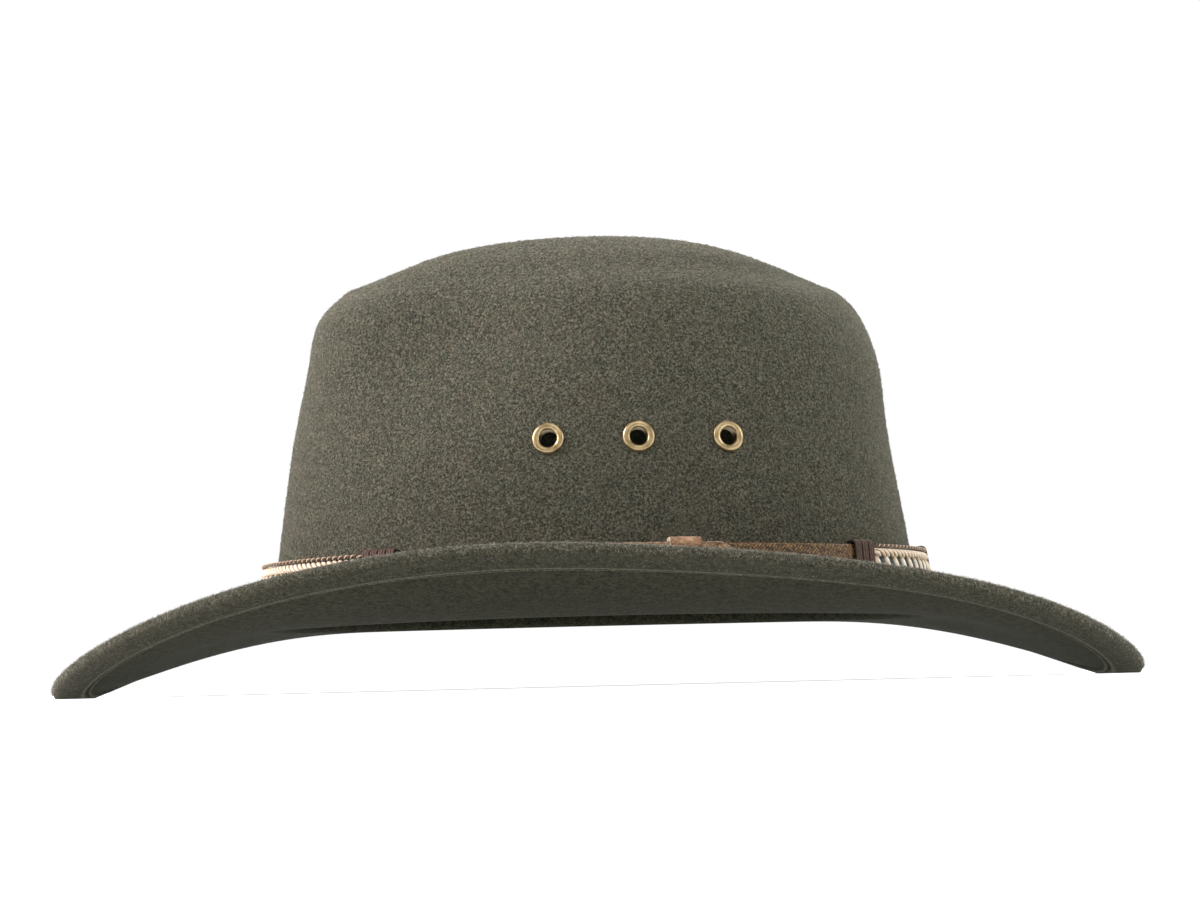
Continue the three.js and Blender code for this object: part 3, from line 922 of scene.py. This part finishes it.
def evenly(outline, count):
    """The same closed outline with evenly spaced points."""
    closed = np.concatenate([outline, outline[:1]])
    steps = np.linalg.norm(np.diff(closed, axis=0), axis=1)
    length = np.concatenate([[0], np.cumsum(steps)])
    places = np.linspace(0, length[-1], count, endpoint=False)
    return np.stack([np.interp(places, length, closed[:, i]) for i in (0, 1)], -1)


def outline_normals(outline):
    """Unit vectors that point out of an outline that runs anticlockwise."""
    ahead = np.roll(outline, -1, axis=0) - np.roll(outline, 1, axis=0)
    return unit(np.stack([ahead[:, 1], -ahead[:, 0]], -1))


def make_wrap(name, node, degrees, turns, lean, material):
    """One lace wound round the band, with both ends tucked behind it."""
    inner = band_gap + lace_thickness / 2
    outer = band_gap + plait_thickness - lace_thickness / 2
    bottom, top = -band_gap - lace_thickness / 2, band_height + band_gap + lace_thickness / 2
    loop = evenly(section_loop(inner, outer, bottom, top, 1.1 * mm), 72)
    behind = np.abs(loop[:, 1] - band_height / 2) + np.abs(loop[:, 0] - inner) * 10
    loop = np.roll(loop, -np.argmin(behind), axis=0)
    lean_share = (loop[:, 1] - bottom) / (top - bottom) - 0.5
    rounds = np.tile(loop, (turns, 1))
    in_turn = np.arange(len(rounds)) / len(loop)
    number = np.floor(in_turn)
    drift = np.interp(in_turn % 1, [0, 0.25, 0.75, 1], [0, 0.5, 0.5, 1])
    along = (number + drift - turns / 2) * lace_width + lean * np.tile(lean_share, turns)
    strands = Strands()
    strand_width, spacing, side_sunk = 0.33 * lace_width, 0.29 * lace_width, 0.12 * lace_thickness
    for strand in (-1, 0, 1):
        aside = strand * spacing
        sunk = side_sunk * abs(strand)
        middle = np.array([(inner + outer) / 2, band_height / 2])
        drawn = rounds - unit(rounds - middle) * sunk
        path = np.stack([length_at(degrees) + along + aside, drawn[:, 0], drawn[:, 1]], -1)
        ones = np.ones(len(path))
        rings = tube(path, strand_width * ones, lace_thickness * ones, 8, (1, 0, 0))
        # Painted shade along the sides of the strands where they meet, deeper on the two outer
        # strands.
        low, high = (0.1, 1.0) if strand == 0 else (0.0, 0.85)
        round_it = np.abs(np.sin(np.arange(8) / 8 * full_turn))
        strands.add(rings, 0, low + (high - low) * round_it[None, :])
    strands.piece(name, [material], "lace_leather", [node])


def make_keeper(materials):
    """A loop of raw leather round the strap and the tab."""
    front = 3 * band_gap + strap_thickness + tab_thickness
    middle = section_loop(
        band_gap + keeper_thickness / 2,
        front + keeper_thickness / 2,
        -band_gap - keeper_thickness / 2,
        band_height + band_gap + keeper_thickness / 2,
        1.4 * mm,
    )
    line = evenly(middle, 110)
    outward = outline_normals(line)
    middle_length = length_at(keeper_angle)
    places = middle_length + np.linspace(-0.5, 0.5, 22) * keeper_width
    rings = [leather_ring(line, outward, place, 0.5) for place in places]
    rings += [leather_ring(line, outward, place, -0.5) for place in places[::-1]]
    rings = np.array(rings)
    vertices = bent(rings).reshape(-1, 3)
    faces = grid_faces(len(rings), len(line), closed_rows=True)
    piece = make_piece(
        "leather_keeper", vertices, faces, materials, ["strap_keeper"]
    )
    mesh_facing_out(piece.data)
    paint_cut_ends(piece, middle_length)


def leather_ring(line, outward, length, side):
    """A loop of points on the outside of the leather at side 0.5, the inside at -0.5."""
    points = np.zeros((len(line), 3))
    points[:, 0] = length
    points[:, 1:] = line + outward * (side * keeper_thickness)
    return points


def paint_cut_ends(piece, middle):
    """Gives the narrow cut faces of a leather piece their own finish."""
    direction = bent(np.array([[middle + mm, 0, 0]])) - bent(np.array([[middle - mm, 0, 0]]))
    direction = Vector(unit(direction)[0])
    for face in piece.data.polygons:
        if abs(face.normal.dot(direction)) > 0.8:
            face.material_index = 1


def make_tab(materials):
    """A tongue of tan leather that lies on the strap."""
    inner = 2 * band_gap + strap_thickness
    rounding = 0.4 * mm
    end = length_at(tab_end_angle)
    length = np.linspace(end - tab_length, end, 60)
    rings = []
    for place in length:
        cut = tab_cut * np.clip(1 - (end - place) / tab_taper, 0, 1)
        outline = section_loop(inner, inner + tab_thickness, cut, band_height - cut, rounding)
        points = np.zeros((len(outline), 3))
        points[:, 0] = place
        points[:, 1:] = outline
        rings.append(points)
    strands = Strands()
    strands.add(np.array(rings))
    strands.finishes[-2:] = [1, 1]
    strands.piece("leather_tab", materials, "tan_leather", ["strap_tab"])


def strap_material():
    """Fine golden brown leather cords, with painted shade where they cross under each other."""
    material, tree, shader = new_material("plaited_brown_leather", {"Roughness": 0.6, "IOR": 1.45})
    place = add(tree, "ShaderNodeTexCoord", {}).outputs["Object"]
    height = add(tree, "ShaderNodeAttribute", {}, attribute_name="cord_height").outputs["Fac"]
    patch = spread(tree, noise(tree, place, 0.8 * mm, 3.0), 0.38, 0.6)
    colour = mix(tree, patch, srgb("aa8450"), srgb("4a3018"))
    # Painted shade where the cords are low, crossing under each other.
    colour = mix(tree, spread(tree, height, 0.35, 0.85), srgb("1c120a"), colour)
    tree.links.new(colour, shader.inputs["Base Color"])
    return material


def suede_material(name, light, dark):
    """Raw tan leather with the fibres of its split side showing."""
    material, tree, shader = new_material(
        name, {"Roughness": 0.85, "IOR": 1.45, "Sheen Weight": 0.2}
    )
    place = add(tree, "ShaderNodeTexCoord", {}).outputs["Object"]
    drawn = add(tree, "ShaderNodeMapping", {"Vector": place, "Scale": (0.25, 1.0, 1.0)}).outputs[0]
    patch = spread(tree, noise(tree, drawn, 1.0 * mm, 4.0, 0.6), 0.38, 0.64)
    colour = mix(tree, patch, srgb(light), srgb(dark))
    fibre = lines_of(tree, noise(tree, drawn, 0.9 * mm, 3.0, 1.0), 0.03)
    colour = mix(tree, fibre, colour, srgb("d6b793"))
    tree.links.new(colour, shader.inputs["Base Color"])
    rough = noise(tree, place, 0.5 * mm, 3.0)
    bump = add(tree, "ShaderNodeBump", {"Height": rough, "Distance": 0.25 * mm, "Strength": 0.8})
    tree.links.new(bump.outputs[0], shader.inputs["Normal"])
    return material


def make_hat():
    felt = felt_material()
    brass = brass_material()
    # Each cord's third colour is painted shade, for its grooves and where it dives under others.
    brown = cord_material("brown_edge_cord", "8a6a4c", "523722", "2c1b10", 0.65, 0.6 * mm)
    fair = cord_material("fair_edge_cord", "e2d2bb", "b3977a", "3a2516", 0.65, 0.6 * mm)
    cream = cord_material("cream_cord", "fbecd9", "e6cfae", "9c7a40", 0.5)
    teal = cord_material("teal_cord", "3a5357", "1b2d32", "0f1214", 0.45, 1.0 * mm)
    core = cord_material("dark_core", "241c15", "15110d", "15110d", 0.8)
    lace = cord_material("brown_lace", "6f5140", "3f2b22", "0f1418", 0.6, 0.6 * mm)
    tan = suede_material("raw_tan_leather", "a67d59", "5e3d26")
    worn = suede_material("worn_tan_leather", "94765a", "5c412e")
    cut = suede_material("cut_leather_edge", "d9cdbf", "a8927c")
    rings = make_felt(felt)
    fibres = {
        "wool": nap_material("wool_fibre", "4c4b3f", "8d8877"),
        # Paler fibres for a painted highlight along the top of the rolled edge, darker ones for
        # painted shade below it.
        "pale": nap_material("rim_highlight_wool_fibre", "424137", "9c9787"),
        "dark": nap_material("shaded_wool_fibre", "26261e", "6b6759"),
    }
    for name, (first, end), count, kind, seed, longest, most_rise in naps:
        make_nap(name, rings[first:end], count, fibres[kind], seed, longest, most_rise)
    for node in eyelet_nodes:
        make_eyelet(node, brass)
    make_plait([brown, cream, teal, core, fair])
    make_strap(strap_material())
    for name, degrees, turns, lean in wraps:
        make_wrap(name + "_lace_wrap", "lace_wrap_" + name, degrees, turns, lean, lace)
    make_keeper([tan, cut])
    make_tab([worn, cut])


def make_floor():
    """A white table lit from below, brighter away from the hat until it meets the backdrop."""
    half = 4.0
    mesh = bpy.data.meshes.new("floor")
    corners = [(-half, -half, 0), (half, -half, 0), (half, half, 0), (-half, half, 0)]
    mesh.from_pydata(corners, [], [(0, 1, 2, 3)])
    material, tree, shader = new_material("lit_table", {"Roughness": 0.9})
    shader.inputs["Base Color"].default_value = srgb("bcbcbc")
    shader.inputs["Emission Color"].default_value = srgb("ffffff")
    place = add(tree, "ShaderNodeTexCoord", {}).outputs["Object"]
    away = add(tree, "ShaderNodeVectorMath", {0: place}, operation="LENGTH").outputs["Value"]
    tree.links.new(spread(tree, away, 0.19, 0.45, 0.7, 1.0), shader.inputs["Emission Strength"])
    mesh.materials.append(material)
    floor = bpy.data.objects.new("floor", mesh)
    bpy.context.scene.collection.objects.link(floor)


def make_light(name, azimuth, elevation, distance, size, power, colour):
    """A soft square light. Azimuth 0 is in front of the near side, and 90 at the back."""
    data = bpy.data.lights.new(name, "AREA")
    data.size = size
    data.energy = power
    data.color = srgb(colour)[:3]
    light = bpy.data.objects.new(name, data)
    across, up = math.radians(azimuth), math.radians(elevation)
    level = math.cos(up)
    direction = Vector((math.sin(across) * level, -math.cos(across) * level, math.sin(up)))
    light.location = direction * distance + Vector((0, 0, crown_top / 2))
    light.rotation_euler = direction.to_track_quat("Z", "Y").to_euler()
    bpy.context.scene.collection.objects.link(light)


def make_world():
    """A light tent, with a white backdrop beyond the far side."""
    world = bpy.data.worlds.new("tent")
    world.use_nodes = True
    tree = world.node_tree
    back = tree.nodes["Background"]
    place = add(tree, "ShaderNodeTexCoord", {}).outputs["Generated"]
    beyond = add(tree, "ShaderNodeSeparateXYZ", {0: place}).outputs[1]
    tree.links.new(spread(tree, beyond, 0.6, 0.9, 0.4, 1.02), back.inputs["Strength"])
    back.inputs["Color"].default_value = srgb("ffffff")
    bpy.context.scene.world = world


# Lights: name, azimuth, elevation, distance, width, power and colour.
lights = [
    ("key", -75, 28, 2.2, 1.0, 60, "fff6f9"),
    ("front", 8, 45, 2.3, 1.5, 12, "ffffff"),
    ("fill", 75, 20, 2.2, 1.0, 14, "ffffff"),
    ("top", 170, 65, 2.0, 1.2, 45, "ffffff"),
]

# Camera: where it stands, how it is turned, tilted and rolled, and its lens in millimetres.
camera_place = (-13.7 * mm, -1.0, 2.0 * mm)
camera_turn = -0.016
camera_tilt = 0.0736
camera_roll = -0.0248
camera_lens = 93.36


def make_camera():
    """Stands beside the near side, just above the floor, tilted up a little and rolled."""
    data = bpy.data.cameras.new("camera")
    data.sensor_width = 36
    data.lens = camera_lens
    camera = bpy.data.objects.new("camera", data)
    turn = Matrix.Rotation(camera_turn, 4, "Z")
    tilt = Matrix.Rotation(math.pi / 2 + camera_tilt, 4, "X")
    roll = Matrix.Rotation(camera_roll, 4, "Z")
    camera.matrix_world = Matrix.Translation(camera_place) @ turn @ tilt @ roll
    bpy.context.scene.collection.objects.link(camera)
    bpy.context.scene.camera = camera


bpy.context.scene.view_settings.view_transform = "Standard"
make_camera()
make_floor()
make_world()
for light in lights:
    make_light(*light)
make_hat()
